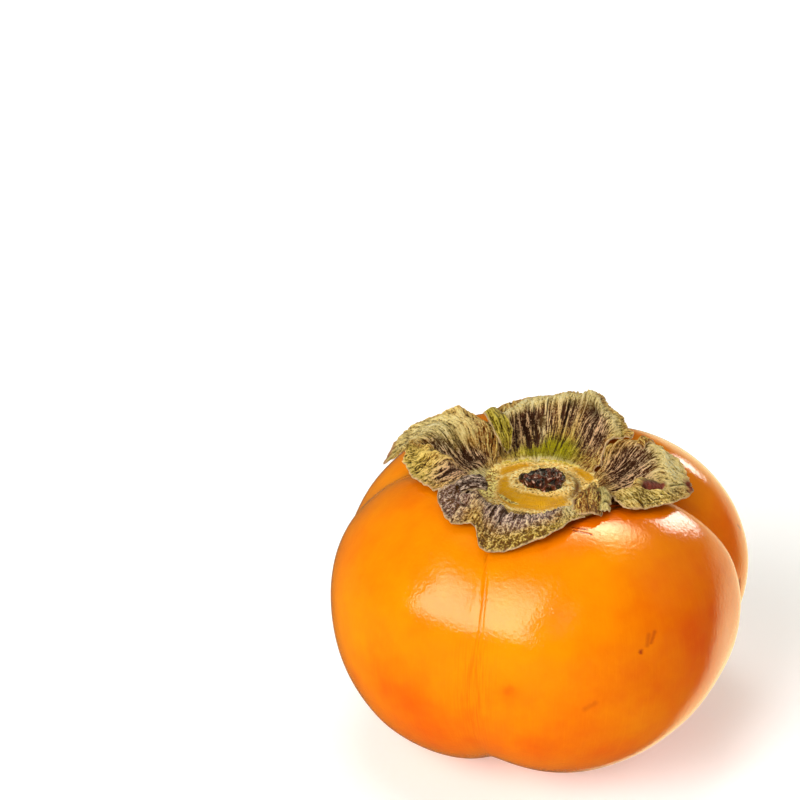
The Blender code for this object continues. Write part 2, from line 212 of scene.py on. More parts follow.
# Patches of colour on the disc: which mask, its centre as (azimuth, reach), its spread, its strength
DISC_PATCHES = (
    ("amber", (-22.0, 7.0), (66.0, 2.0), 1.3), ("amber", (-150.0, 8.2), (34.0, 1.7), 0.9),
    ("amber", (120.0, 9.6), (22.0, 1.2), 1.0), ("cream", (-95.0, 10.0), (36.0, 2.4), 1.2),
    ("cream", (-52.0, 7.9), (22.0, 0.38), 1.3), ("amber", (-95.0, 6.6), (30.0, 1.2), 0.8),
    ("cream", (165.0, 8.0), (40.0, 0.5), 0.7), ("cream", (178.0, 10.0), (50.0, 0.4), 0.6),
    ("green", (172.0, 11.4), (46.0, 1.5), 1.0), ("arc", (82.0, 6.9), (40.0, 0.60), 1.2),
    ("arc", (60.0, 9.0), (26.0, 0.35), 0.8), ("arc", (-10.0, 5.3), (60.0, 0.25), 0.35),
)

# Folds painted with shade at their far edge
SHADED_FOLDS = ("calyx_fold_knob",)

# Small folds of dried leaf that stand on the lobes: a sheet through rows of (azimuth, reach, height)
FOLDS = {
    "calyx_fold_ear": {
        "rows": (
            ((221, 16.0, 59.6), (221.5, 14.3, 58.0), (222, 12.5, 56.4),
             (219.5, 11.5, 54.3), (215.5, 10.9, 52.6)),
            ((215.5, 16.0, 60.0), (214.5, 13.9, 58.3), (213, 12.6, 56.4),
             (213, 11.5, 54.5), (214.5, 10.7, 52.9)),
            ((209.5, 16.9, 59.2), (206, 14.6, 57.9), (203.5, 13.3, 56.5),
             (206.5, 12.0, 55.0), (212, 10.8, 53.3)),
        ),
        "paint": {"green": 0.55, "olive": 0.8, "brown": 0.25},
        "calm": 0.45,
        "furrows": (((0.5, 0.1), (0.45, 0.8), 0.15, 0.2),),
    },
    "calyx_fold_knob": {
        "rows": (
            ((303, 19.5, 56.4), (306, 17.5, 57.0), (305, 15.5, 56.6), (302, 13.6, 55.2)),
            ((309, 20.5, 58.3), (311, 18.6, 59.3), (314, 16.6, 59.1), (316, 14.8, 57.4)),
            ((315.5, 21.6, 57.3), (318, 20.0, 57.8), (321, 18.6, 57.6), (322, 17.2, 56.8)),
        ),
        "paint": {"ash": 1.0, "purple": 0.7},
        "calm": 0.55,
        "furrows": (
            ((0.72, 0.05), (0.80, 0.98), 0.35, 0.7),
            ((0.30, 0.20), (0.35, 0.90), 0.25, 0.5),
            ((0.05, 0.60), (0.10, 0.98), 0.30, 0.4),
            ((0.60, 0.99), (0.30, 0.99), 0.50, 0.5),
        ),
    },
    "calyx_fold_flake": {
        "rows": (
            ((66, 8.6, 52.4), (38, 10.6, 53.5), (18, 15.2, 55.8), (11, 20.2, 55.8)),
            ((69, 9.3, 53.2), (45, 11.9, 55.1), (26, 16.5, 57.8), (18, 22.2, 56.6)),
            ((68, 10.0, 52.6), (48, 12.8, 54.0), (33, 17.4, 56.2), (24, 22.6, 55.2)),
        ),
        "paint": {"brown": 0.75, "olive": 0.3},
        "calm": 0.7,
        "furrows": (
            ((0.80, 0.10), (0.86, 0.95), 0.18, 0.5),
            ((0.30, 0.55), (0.50, 0.95), 0.15, 0.3),
        ),
    },
    "calyx_fold_roll": {
        "rows": (
            ((48.5, 11.8, 53.6), (33.5, 15.0, 55.4), (27, 18.2, 56.1), (23.5, 20.8, 55.5)),
            ((48.5, 13.0, 55.0), (37.5, 16.2, 57.2), (31, 18.9, 57.8), (26, 21.8, 56.2)),
            ((46, 14.8, 54.4), (39, 17.4, 56.0), (34, 19.4, 56.2), (29, 21.5, 55.3)),
        ),
        "paint": {"pale": 0.6, "green": 0.7},
        "calm": 0.25,
        "furrows": (
            ((0.98, 0.40), (0.30, 0.50), 0.36, 0.8),
            ((0.98, 0.60), (0.40, 0.66), 0.36, 0.8),
            ((0.98, 0.80), (0.35, 0.86), 0.30, 0.6),
            ((0.22, 0.35), (0.18, 0.95), 0.24, 0.5),
        ),
    },
    "calyx_fold_torn": {
        "rows": (
            ((97, 16.4, 57.6), (94, 16.9, 58.4), (90, 17.6, 58.0)),
            ((99, 17.8, 59.3), (96, 18.2, 59.6), (92, 18.8, 58.8)),
            ((98, 19.4, 58.8), (95.5, 19.7, 59.0), (93, 20.0, 58.6)),
        ),
        "paint": {"brown": 1.0},
        "calm": 0.7,
        "furrows": (((0.5, 0.1), (0.5, 0.9), 0.15, 0.3),),
    },
}

# The skin's own coordinates in millimetres: this much to a degree of azimuth and of latitude
AROUND = EQUATOR_RADIUS * math.pi / 180.0
ALONG = 0.6
# Small marks on the skin: start and end as (azimuth, latitude), half-width in millimetres, strength
MARKS = (
    ((26.2, 17.6), (25.4, 14.0), 0.55, 0.30), ((28.0, 18.0), (26.6, 14.6), 0.50, 0.40),
    ((23.4, 12.5), (23.5, 12.0), 0.50, 0.65), ((10.2, 60.2), (15.8, 58.0), 0.30, 0.70),
    ((10.2, 58.8), (16.8, 55.6), 0.30, 0.70), ((-69.4, -4.4), (-69.0, -5.6), 0.50, 0.60),
    ((8.8, -5.0), (11.4, -3.0), 0.60, 0.20), ((-11.6, -1.0), (-10.4, 0.4), 0.80, 0.15),
    ((90.0, 0.5), (91.5, -7.0), 0.50, 0.75), ((96.0, 20.0), (97.0, 17.0), 0.40, 0.60),
    ((190.0, 5.0), (196.0, 12.0), 0.35, 0.50), ((-120.0, 20.0), (-117.0, 17.0), 0.40, 0.40),
)

# Ripeness of the skin, and its riper (or, below 0, yellower) patches, one of them painted shade: centre as
# (azimuth, latitude), spread over each, and how much riper
SKIN_RIPENESS = 0.18
RIPE_AND_SHADE_PATCHES = (
    ((62.0, 12.0), (44.0, 40.0), 0.68), ((-43.0, -10.0), (12.0, 9.0), 0.34),
    # The patch at (10, 62) is a painted red shade on the shoulder under the calyx
    ((-11.0, -1.0), (4.0, 4.0), 0.30), ((10.0, 62.0), (60.0, 14.0), 0.42),
    ((-16.0, -28.0), (46.0, 18.0), 0.50), ((26.0, 50.0), (18.0, 8.0), -0.36),
)

# Colours of the dried leaf, laid on in this order where each mask says, and of the painted highlights on its
# ridges
LEAF_PAINTS = (
    ("olive", (194, 158, 56)), ("brown", (160, 96, 36)), ("green", (162, 146, 0)),
    ("ash", (150, 114, 110)), ("purple", (118, 62, 42)), ("pale", (250, 222, 138)),
)
RIDGE_HIGHLIGHTS = (
    ("purple", (255, 206, 156)), ("ash", (248, 218, 190)),
    ("green", (208, 194, 16)), ("pale", (255, 240, 184)),
)
# How much more painted shade its valleys take where each mask says
VALLEY_SHADE_DROPS = (("purple", 0.20), ("ash", 0.10), ("sandy", 0.04), ("olive", 0.09))

# Dried leaf
LEAF_LENGTH = 14.0              # along a lobe, from the disc to its end
LEAF_THICKNESS = (0.28, 0.60)   # at its edge and away from it
LEAF_CRUMPLE = 0.40             # height of its crumples
LEAF_RELIEF = 0.85              # height of its strands and grain
LEAF_MARGIN = 0.22              # width of its pale edge, partly a painted edge highlight
LOBE_UNDERLAP = 0.10            # how far a lobe starts before the disc's rim, as a share of its length
# Height of the disc's top at each reach; reach and height of the two rings of its underside
DISC_PROFILE = (
    (0.0, 3.4, 4.4, 5.2, 5.6, 6.9, 7.6, 8.5, 11.0, 12.0),
    (52.0, 52.1, 52.25, 52.1, 51.9, 51.7, 51.3, 51.1, 51.3, 51.5),
)
DISC_UNDERSIDE = ((0.5, 50.2), (DISC_RADIUS + 0.5, 50.4))
DISC_MEAN_REACH = 8.0           # where its across_along is true to size

# Points of each surface: across and along a leaf; outwards, or upwards, and round for the others
LOBE_GRID = (400, 95)
FOLD_GRID = (60, 60)
DISC_GRID = (110, 300)
STUB_GRID = (90, 180)
REMNANT_GRID = (24, 60)
SKIN_RINGS = 236
SKIN_SECTORS = ((-34.0, -8.0, 0.30), (-8.0, 326.0, 1.10))   # azimuths from, to and step; finer by the seam
DISC_SEAM = 55.0                # where the disc's columns start, hidden under the flake
STUB_SEAM = 180.0               # where the stalk's columns start, at its back

# Floor, lights, world and camera, in metres
FLOOR_SIDE = 6.0                # half of the floor's side
SOFTBOX_DISTANCE = 1.6          # of the upright softboxes from the fruit's axis
WORLD_COLOUR = (0.13, 0.12, 0.075, 1.0)
CAMERA_AIM = Vector((-0.0260, 0.0150, 0.0605))      # from the foot of the fruit's axis
CAMERA_DISTANCE = 0.525
CAMERA_ELEVATION = math.radians(26.3)
CAMERA_VIEW = math.radians(16.0)
CAMERA_SENSOR = 36.0            # in millimetres

DISC_LOW, DISC_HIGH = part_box("calyx_disc")
AXIS = np.array((DISC_LOW + DISC_HIGH) / 2) * [1, 1, 0] - DISC_CENTRE * MM


# ---- Numbers over whole arrays ----

def ease(x):
    """A smooth step from 0 at x = 0 to 1 at x = 1."""
    x = np.clip(x, 0.0, 1.0)
    return x * x * (3.0 - 2.0 * x)


def turn_between(azimuth, centre):
    """The signed turn from one azimuth to another, within half a turn either way."""
    return (azimuth - centre + 180.0) % 360.0 - 180.0


def place(azimuth, reach, height):
    """Cartesian points from azimuth, reach and height."""
    angle = np.radians(azimuth)
    reach, height = np.broadcast_arrays(reach, height, subok=False)
    return np.stack([reach * np.sin(angle), -reach * np.cos(angle), height], -1)


def noise(u, v, seed, period=None):
    """Smooth random values between -1 and 1: one value at each whole (u, v), eased in between.

    With a period, u repeats after that many whole steps.
    """
    values = np.random.default_rng(seed).uniform(-1.0, 1.0, (period or 97, 97))
    u, v = np.broadcast_arrays(u, v)
    low_u, low_v = np.floor(u).astype(int), np.floor(v).astype(int)
    part_u, part_v = ease(u - low_u), ease(v - low_v)
    rows, columns = values.shape

    def corner(step_u, step_v):
        return values[(low_u + step_u) % rows, (low_v + step_v) % columns]

    near = corner(0, 0) * (1 - part_u) + corner(1, 0) * part_u
    far = corner(0, 1) * (1 - part_u) + corner(1, 1) * part_u
    return near * (1 - part_v) + far * part_v


def layered(u, v, seed, layers=3):
    """Noise with finer and weaker noise on top: each layer is twice as fine and half as strong."""
    return sum(noise(u * 2 ** k, v * 2 ** k, seed + k) / 2 ** k for k in range(layers))


def ribbed(u, v, seed):
    """Rounded ribs between thin, sharp valleys: the square root of |noise|, centred about 0."""
    return np.sqrt(np.abs(noise(u, v, seed))) - 0.6


def spot(u, v, centre, spread):
    """A bell over (u, v): exp(-(distance in spreads)^2)."""
    return np.exp(-((u - centre[0]) / spread[0]) ** 2 - ((v - centre[1]) / spread[1]) ** 2)


def furrow(u, v, start, end, half_width):
    """A narrow line between two places, thinner towards its end: exp(-(distance in half-widths)^2)."""
    run = np.subtract(end, start)
    along = np.clip(((u - start[0]) * run[0] + (v - start[1]) * run[1]) / (run @ run), 0.0, 1.0)
    away = np.hypot(u - start[0] - along * run[0], v - start[1] - along * run[1])
    return np.exp(-(away / (half_width * (1.0 - 0.6 * along))) ** 2)


def painted(patches, u, v, away=np.subtract):
    """Masks of colour: of each mask's patches the strongest bell; away measures u from a centre."""
    masks = {}
    for mask, centre, size, strength in patches:
        bell = strength * spot(away(u, centre[0]), v - centre[1], (0, 0), size)
        masks[mask] = np.maximum(masks.get(mask, 0.0), bell)
    return masks


def furrowed(furrows, u, v, sizes):
    """How far furrows press a leaf, in millimetres, and how much painted shade lies along them, from 0 to 1.
    """
    press, painted_shade = np.zeros(u.shape), np.zeros(u.shape)
    for start, end, half_width, depth in furrows:
        line = furrow(u, v, start * sizes, end * sizes, half_width)
        press -= depth * line
        painted_shade = np.maximum(painted_shade, line)
    return press, painted_shade


def run_length(points):
    """Length of the line through a row of points."""
    return np.linalg.norm(np.diff(points, axis=0), axis=1).sum()


def all_round(count, start=0.0):
    """Azimuths at even steps all the way round."""
    return start + np.arange(count) * (360.0 / count)


def normals(points):
    """Unit normals of a grid of points: the cross product of its two directions."""
    cross = np.cross(np.gradient(points, axis=0), np.gradient(points, axis=1))
    cross /= np.linalg.norm(cross, axis=-1, keepdims=True) + 1e-12
    return cross


# ---- Meshes ----

def quads(rows, columns, wrap=False):
    """Quads of a grid of points numbered row by row; wrap joins the last column to the first."""
    row = np.arange(rows - 1)[:, None] * columns
    column = np.arange(columns if wrap else columns - 1)[None, :]
    after = (column + 1) % columns
    corners = [row + column, row + after, row + columns + after, row + columns + column]
    return np.stack([np.broadcast_to(c, (rows - 1, column.size)) for c in corners], -1)


def new_piece(name, points, faces, look, uv=None, masks=None):
    """A smooth mesh of points in millimetres about the fruit's axis, riding on the root body."""
    mesh = bpy.data.meshes.new(name)
    points = np.asarray(points, float) * MM + AXIS
    corners = np.concatenate([f.ravel() for f in faces]).astype(np.int32)
    sizes = np.concatenate([np.full(len(f), f.shape[1]) for f in faces])
    mesh.vertices.add(len(points))
    mesh.vertices.foreach_set("co", points.astype(np.float32).ravel())
    mesh.loops.add(len(corners))
    mesh.loops.foreach_set("vertex_index", corners)
    mesh.polygons.add(len(sizes))
    mesh.polygons.foreach_set("loop_start", (np.cumsum(sizes) - sizes).astype(np.int32))
    mesh.update(calc_edges=True)
    if uv is not None:
        layer = mesh.uv_layers.new(name="across_along")
        layer.data.foreach_set("uv", uv[corners].astype(np.float32).ravel())
    for mask, values in (masks or {}).items():
        attribute = mesh.attributes.new(mask, "FLOAT", "POINT")
        attribute.data.foreach_set("value", np.ravel(values).astype(np.float32))
    mesh.validate()
    mesh.shade_smooth()
    mesh.materials.append(look)
    piece = bpy.data.objects.new(name, mesh)
    bpy.context.scene.collection.objects.link(piece)
    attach(piece, "root")
    return piece


def capped(rings):
    """Points and faces of a solid through rings of points (bottom to top), each end closed by a fan."""
    count, segments = rings.shape[:2]
    points = np.concatenate([rings.reshape(-1, 3), [rings[0].mean(axis=0)], [rings[-1].mean(axis=0)]])
    seg = np.arange(segments)
    after = (seg + 1) % segments
    last = (count - 1) * segments
    bottom = np.stack([after, seg, np.full(segments, count * segments)], -1)
    top = np.stack([last + seg, last + after, np.full(segments, count * segments + 1)], -1)
    return points, [quads(count, segments, wrap=True).reshape(-1, 4), bottom, top]


def two_faced(top, bottom):
    """Points and faces of a thin body between two grids of points, closed round its edge."""
    rows, columns = top.shape[:2]
    cells = quads(rows, columns)
    under = rows * columns
    faces = [cells[:, :, ::-1].reshape(-1, 4), (cells + under).reshape(-1, 4)]
    sides = ((cells[0], (0, 1)), (cells[:, -1], (1, 2)), (cells[-1], (2, 3)), (cells[:, 0], (3, 0)))
    for edge, (start, end) in sides:
        first, second = edge[:, start], edge[:, end]
        faces.append(np.stack([first, second, second + under, first + under], -1))
    points = np.concatenate([top.reshape(-1, 3), bottom.reshape(-1, 3)])
    return points, outward(points, faces)


def outward(points, faces):
    """The faces of a closed body, turned round if its volume comes out negative."""
    volume = 0.0
    for group in faces:
        first, second, third, fourth = (points[group[:, k]] for k in range(4))
        volume += (np.cross(third - first, fourth - second) * (first + second + third + fourth)).sum()
    return faces if volume > 0 else [group[:, ::-1] for group in faces]


# ---- Shapes ----

def turned_profile(latitude):
    """Reach and height of the plain turned shape: a quarter superellipse above and one below."""
    angle = np.radians(latitude)
    upper = latitude > 0
    across = np.abs(np.cos(angle))
    along = np.abs(np.sin(angle))
    reach = EQUATOR_RADIUS * np.where(
        upper, across ** SHOULDER_FULLNESS[0], across ** UNDERSIDE_FULLNESS[0])
    rise = (CROWN_HEIGHT - EQUATOR_HEIGHT) * along ** SHOULDER_FULLNESS[1]
    drop = (EQUATOR_HEIGHT + FOOT_TRIM) * along ** UNDERSIDE_FULLNESS[1]
    return reach, EQUATOR_HEIGHT + np.where(upper, rise, -drop)


def fruit_surface(azimuth, latitude):
    """The skin: the turned shape pushed out along its normal by the lobes and in by the grooves."""
    step = 0.05
    reach, height = turned_profile(latitude)
    reach_before, height_before = turned_profile(np.maximum(latitude - step, -90.0))
    reach_after, height_after = turned_profile(np.minimum(latitude + step, 90.0))
    run = np.hypot(reach_after - reach_before, height_after - height_before)
    normal_reach = (height_after - height_before) / run
    normal_height = (reach_before - reach_after) / run

    share = reach / EQUATOR_RADIUS
    fade = np.where(latitude > 0, ease((share - 0.12) / 0.40), ease(share / 0.55))
    push = LOBE_SWELL * np.cos(np.radians(4.0 * (azimuth - LOBE_AZIMUTH))) * fade
    for azimuths, depths, half_widths in GROOVES:
        centre = np.interp(latitude, GROOVE_LATITUDES, azimuths)
        depth = np.interp(latitude, GROOVE_LATITUDES, depths)
        turn = turn_between(azimuth, centre)
        half_width = np.where(turn < 0, *half_widths) / np.sqrt(np.maximum(share, 0.05))
        across = np.abs(turn) / half_width
        push = push - depth * np.exp(-across ** 1.6) * fade
    for centre, size, swell in BULGES:
        push = push + swell * spot(turn_between(azimuth, centre[0]), latitude - centre[1], (0, 0), size)

    reach = reach + normal_reach * push
    height = height + normal_height * push
    basin = BASIN_DEPTH * np.exp(-(reach / BASIN_REACH) ** 4)
    dimple = DIMPLE_DEPTH * np.exp(-(reach / DIMPLE_REACH) ** 2)
    height = np.where(latitude > 0, height - basin, np.maximum(height + dimple, 0.0))
    return place(azimuth, reach, height)


def through(stops, where):
    """Smooth interpolation through rows of points (Catmull-Rom); where runs from 0 to 1."""
    stops = np.concatenate([[2 * stops[0] - stops[1]], stops, [2 * stops[-1] - stops[-2]]])
    spans = len(stops) - 3
    place_on = np.asarray(where) * spans
    first = np.clip(np.floor(place_on).astype(int), 0, spans - 1)
    t = (place_on - first).reshape(-1, *([1] * (stops.ndim - 1)))
    before, start, end, after = stops[first], stops[first + 1], stops[first + 2], stops[first + 3]
    bend = 2 * before - 5 * start + 4 * end - after
    twist = 3 * start - before - 3 * end + after
    return 0.5 * (2 * start + (end - before) * t + bend * t ** 2 + twist * t ** 3)


def lobe_surface(stations, across, along):
    """A calyx lobe's plain sheet: from the disc's rim over each crest to each end."""
    rails = []
    for crest, end in stations:
        rim = place(crest[0], DISC_RADIUS + JOINT_GAP, DISC_RIM_HEIGHT) + DISC_CENTRE
        top = place(*crest)
        middle = [(crest[i] + end[i]) / 2 for i in range(3)]
        droops = crest[2] > end[2] - 0.5
        shoulder = place(middle[0], middle[1] + 0.2, middle[2] + (0.35 if droops else 0.0))
        bowl = (rim + top) / 2 - [0.0, 0.0, BOWL_SAG]
        rails.append([rim, bowl, top, shoulder, place(*end)])
    along_rails = through(np.swapaxes(np.array(rails), 0, 1), along)
    return through(np.swapaxes(along_rails, 0, 1), across)


# ---- Node helpers ----

def add(tree, kind, inputs=None, **settings):
    """A node with its settings made and its inputs set, or linked where a socket is given."""
    made = tree.nodes.new(kind)
    for key, value in settings.items():
        setattr(made, key, value)
    for key, value in (inputs or {}).items():
        if isinstance(value, bpy.types.NodeSocket):
            tree.links.new(value, made.inputs[key])
        else:
            made.inputs[key].default_value = value
    return made


def follow(kind, inputs, **settings):
    """A node added to the tree of the sockets among its inputs."""
    sockets = [value for value in inputs.values() if isinstance(value, bpy.types.NodeSocket)]
    return add(sockets[0].id_data, kind, inputs, **settings)


def noise_of(vector, scale, detail=3.0, roughness=0.5, distortion=0.0):
    """Noise from 0 to 1 over a place."""
    inputs = {"Vector": vector, "Scale": scale, "Detail": detail}
    inputs.update({"Roughness": roughness, "Distortion": distortion})
    return follow("ShaderNodeTexNoise", inputs).outputs["Fac"]


def maths(operation, first, second=0.0, clamp=False):
    return follow("ShaderNodeMath", {0: first, 1: second}, operation=operation, use_clamp=clamp).outputs[0]


def plus(first, *others):
    for other in others:
        first = maths("ADD", first, other)
    return first


def minus(first, second):
    return maths("SUBTRACT", first, second)


def times(first, second):
    return maths("MULTIPLY", first, second)


def spread(value, low, high, new_low=0.0, new_high=1.0):
    """A value's range from low to high spread, or turned round, over a new range."""
    inputs = {"Value": value, "From Min": low, "From Max": high, "To Min": new_low, "To Max": new_high}
    return follow("ShaderNodeMapRange", inputs).outputs["Result"]


def mixed(amount, first, second):
    """A colour between two colours, each of them plain or from a socket."""
    first, second = ((*value, 1.0) if isinstance(value, tuple) else value for value in (first, second))
    return follow("ShaderNodeMix", {0: amount, 6: first, 7: second}, data_type="RGBA").outputs[2]


def coated(colour, *coats):
    """A colour with others laid over it in turn, each by its amount."""
    for amount, paint in coats:
        colour = mixed(amount, colour, paint)
    return colour


def scaled(vector, factors):
    return follow("ShaderNodeMapping", {"Vector": vector, "Scale": factors}).outputs["Vector"]


def mask_of(tree, name):
    return add(tree, "ShaderNodeAttribute", attribute_name=name).outputs["Fac"]


def uv_of(tree):
    return add(tree, "ShaderNodeUVMap", uv_map="across_along").outputs["UV"]


def object_place(tree):
    return add(tree, "ShaderNodeTexCoord").outputs["Object"]


def bump_of(height, distance, strength=1.0, normal=None):
    """A normal pushed about by a height, on top of another normal where one is given."""
    inputs = {"Height": height, "Distance": distance, "Strength": strength}
    if normal is not None:
        inputs["Normal"] = normal
    return follow("ShaderNodeBump", inputs).outputs["Normal"]


def seen(red, green, blue):
    """Linear colour from screen values of 0 to 255."""
    values = np.array([red, green, blue]) / 255.0
    return tuple(np.where(values <= 0.04045, values / 12.92, ((values + 0.055) / 1.055) ** 2.4).tolist())


def material(name, **constants):
    """A material with its Principled shader, whose constant values are set on the shader's own sockets."""
    made = bpy.data.materials.new(name)
    made.use_nodes = True
    shader = made.node_tree.nodes["Principled BSDF"]
    for key, value in constants.items():
        shader.inputs[key.replace("_", " ")].default_value = value
    return made, made.node_tree, shader


def link_surface(shader, colour, roughness, normal):
    """Links what changes over a surface to its shader."""
    for name, socket in (("Base Color", colour), ("Roughness", roughness), ("Normal", normal)):
        shader.id_data.links.new(socket, shader.inputs[name])


def new_group(name, vectors, floats, outputs):
    """A node group with named inputs and float outputs, and the sockets at its inner ends."""
    group = bpy.data.node_groups.new(name, "ShaderNodeTree")
    sockets = ((vectors, "INPUT", "Vector"), (floats, "INPUT", "Float"), (outputs, "OUTPUT", "Float"))
    for names, in_out, kind in sockets:
        for socket in names:
            group.interface.new_socket(socket, in_out=in_out, socket_type="NodeSocket" + kind)
    return group, group.nodes.new("NodeGroupInput").outputs, group.nodes.new("NodeGroupOutput").inputs


# ---- Looks ----

def tissue_group():
    """Dried plant tissue: strands, crumples, grain, specks, unevenness and a height for the bump."""
    outputs = ("Strands", "Crumple", "Grain", "Specks", "Uneven", "Height")
    group, entry, leaving = new_group("dried tissue", ("Across Along", "Place"), (), outputs)
    where = entry["Place"]
    strands = noise_of(scaled(entry["Across Along"], (3.4, 0.50, 1.0)), 1.0, 5.0, 0.68, 0.7)
    strands = spread(strands, 0.34, 0.66)
    crumple = spread(noise_of(where, 900.0, 5.0, 0.62, 0.4), 0.32, 0.68)
    grain = spread(noise_of(where, 2600.0, 2.0, 0.6), 0.34, 0.66)
    specks = spread(grain, 0.70, 1.0)
    uneven = noise_of(where, 420.0, 4.0, 0.6, 0.5)
    height = plus(times(strands, 0.6), times(crumple, 0.5), times(grain, 0.35))
    for name, value in zip(outputs, (strands, crumple, grain, specks, uneven, height)):
        group.links.new(value, leaving[name])
    return group


TISSUE = tissue_group()


def tissue_of(tree):
    """The dried tissue's values over a piece."""
    inputs = {"Across Along": uv_of(tree), "Place": object_place(tree)}
    return follow("ShaderNodeGroup", inputs, node_tree=TISSUE).outputs


def lobe_look():
    """Dried leaf: olive brown with purple, green, brown and pale patches, painted shade in its valleys and
    painted highlights on its ridges.
    """
    made, tree, shader = material("dried lobe", Specular_IOR_Level=0.14, Specular_Tint=(1.0, 0.82, 0.55, 1.0))
    tissue = tissue_of(tree)
    mask = {name: mask_of(tree, name) for name in MASKS + ("painted_shade", "pale_edge_and_highlight", "relief")}
    colour = mixed(tissue["Uneven"], seen(186, 126, 52), seen(226, 176, 88))
    patchy = minus(tissue["Uneven"], 0.5)
    for name, paint in LEAF_PAINTS:
        colour = mixed(spread(plus(mask[name], patchy), 0.25, 0.75), colour, seen(*paint))
    # Colours of the painted highlights on the ridges
    ridge_highlight = coated(seen(255, 222, 120), *((mask[name], seen(*paint)) for name, paint in RIDGE_HIGHLIGHTS))

    lines = times(spread(mask["sandy"], 0.0, 1.0, 0.46, 0.16), tissue["Strands"])
    speckle = times(spread(mask["sandy"], 0.0, 1.0, 0.22, 0.40), tissue["Grain"])
    grain = plus(times(mask["relief"], 0.50), lines, speckle)
    # Where the grain lies low it takes painted valley shade; the masks below deepen it
    shade_grain = grain
    for name, drop in VALLEY_SHADE_DROPS:
        shade_grain = minus(shade_grain, times(mask[name], drop))
    calmed = spread(mask["pale"], 0.0, 1.0, 1.0, 0.80)
    valley_shade = times(spread(shade_grain, 0.50, 0.29), calmed)
    # Colour of the painted shade in the valleys
    hollow = mixed(mask["sandy"], seen(52, 21, 5), seen(108, 68, 24))
    hollow = mixed(mask["pale"], hollow, seen(92, 48, 16))

    colour = coated(
        colour,
        # Painted shade in the grain's valleys, then painted highlights on its ridges
        (valley_shade, hollow),
        (spread(grain, 0.55, 0.74), ridge_highlight),
        (spread(mask["maroon"], 0.2, 0.8),
         mixed(tissue["Crumple"], seen(112, 46, 34), seen(186, 92, 72))),
        (times(tissue["Specks"], 0.20), seen(60, 35, 20)),
        # A pale edge, partly the leaf's own paler margin and partly a painted highlight on its edge
        (times(mask["pale_edge_and_highlight"], 0.75), seen(236, 200, 150)),
        # Painted shade: along furrows, in the deepest dents, under the slit's rim and at the shaded folds'
        # far edge
        (times(mask["painted_shade"], 0.88), seen(40, 14, 5)),
    )
    roughness = spread(tissue["Crumple"], 0.0, 1.0, 0.66, 0.36)
    link_surface(shader, colour, roughness, bump_of(tissue["Height"], 0.00050))
    return made


def disc_look():
    """Disc: sandy grains with painted shade between them and painted highlights on them, glossy amber bands,
    cream fibres, green by the back and darker arcs.
    """
    made, tree, shader = material("dried disc", Specular_IOR_Level=0.20, Specular_Tint=(1.0, 0.85, 0.5, 1.0))
    tissue = tissue_of(tree)
    mask = {name: mask_of(tree, name) for name in ("amber", "cream", "green", "arc", "relief")}
    grain = plus(times(mask["relief"], 0.5), times(tissue["Grain"], 0.5))
    patchy = times(minus(tissue["Uneven"], 0.5), 0.8)
    amber = spread(plus(mask["amber"], patchy), 0.35, 0.6)
    colour = coated(
        mixed(tissue["Uneven"], seen(240, 182, 72), seen(255, 214, 120)),
        # Painted shade where the grains lie low and painted highlights on their tops
        (spread(grain, 0.40, 0.20, 0.0, 0.85), seen(110, 58, 10)),
        (spread(grain, 0.52, 0.72), seen(255, 238, 170)),
        (spread(mask["green"], 0.1, 0.8), seen(206, 184, 16)),
        (amber, mixed(tissue["Uneven"], seen(206, 134, 0), seen(240, 180, 6))),
        # The cream fibres too are painted darker where their grain lies low and lighter on its tops, as shade
        # and highlight
        (spread(plus(mask["cream"], patchy), 0.35, 0.7),
         mixed(spread(grain, 0.35, 0.6), seen(150, 100, 20), seen(255, 236, 140))),
        (times(mask["arc"], 0.85), seen(104, 56, 8)),
    )
    roughness = spread(amber, 0.0, 1.0, 0.55, 0.28)
    link_surface(shader, colour, roughness, bump_of(tissue["Height"], 0.00030, 0.8))
    return made


def stalk_look():
    """Broken stalk: dark, resinous wood with reddish brown ridges and a few pale flecks painted as glints."""
    made, tree, shader = material(
        "broken stalk", Specular_IOR_Level=0.55, Specular_Tint=(1.0, 0.90, 0.78, 1.0))
    wood = spread(noise_of(object_place(tree), 760.0, 3.0, 0.60, 1.2), 0.34, 0.66)
    colour = mixed(spread(wood, 0.25, 0.75), seen(16, 2, 0), seen(132, 58, 30))
    # Painted glints: pale flecks on the highest wood
    colour = mixed(spread(wood, 0.84, 0.99), colour, seen(236, 190, 160))
    link_surface(shader, colour, spread(wood, 0.0, 1.0, 0.08, 0.18), bump_of(wood, 0.0018))
    return made


def stroke_group():
    """A short mark: 1 on the line between two places, 0 beyond a wavering half-width."""
    group, entry, leaving = new_group(
        "stroke", ("Place", "Start", "End"), ("Half Width", "Wobble"), ("Mask",))

    def vector(operation, first, second, output="Vector"):
        return follow("ShaderNodeVectorMath", {0: first, 1: second}, operation=operation).outputs[output]

    run = vector("SUBTRACT", entry["End"], entry["Start"])
    offset = vector("SUBTRACT", entry["Place"], entry["Start"])
    on_run = vector("DOT_PRODUCT", offset, run, "Value")
    along = maths("DIVIDE", on_run, vector("DOT_PRODUCT", run, run, "Value"), clamp=True)
    nearest = follow("ShaderNodeVectorMath", {0: run, "Scale": along}, operation="SCALE")
    away = vector("DISTANCE", offset, nearest.outputs["Vector"], "Value")
    away = plus(away, entry["Wobble"])
    share = maths("DIVIDE", away, entry["Half Width"])
    group.links.new(spread(share, 0.2, 1.2, 1.0, 0.0), leaving["Mask"])
    return group


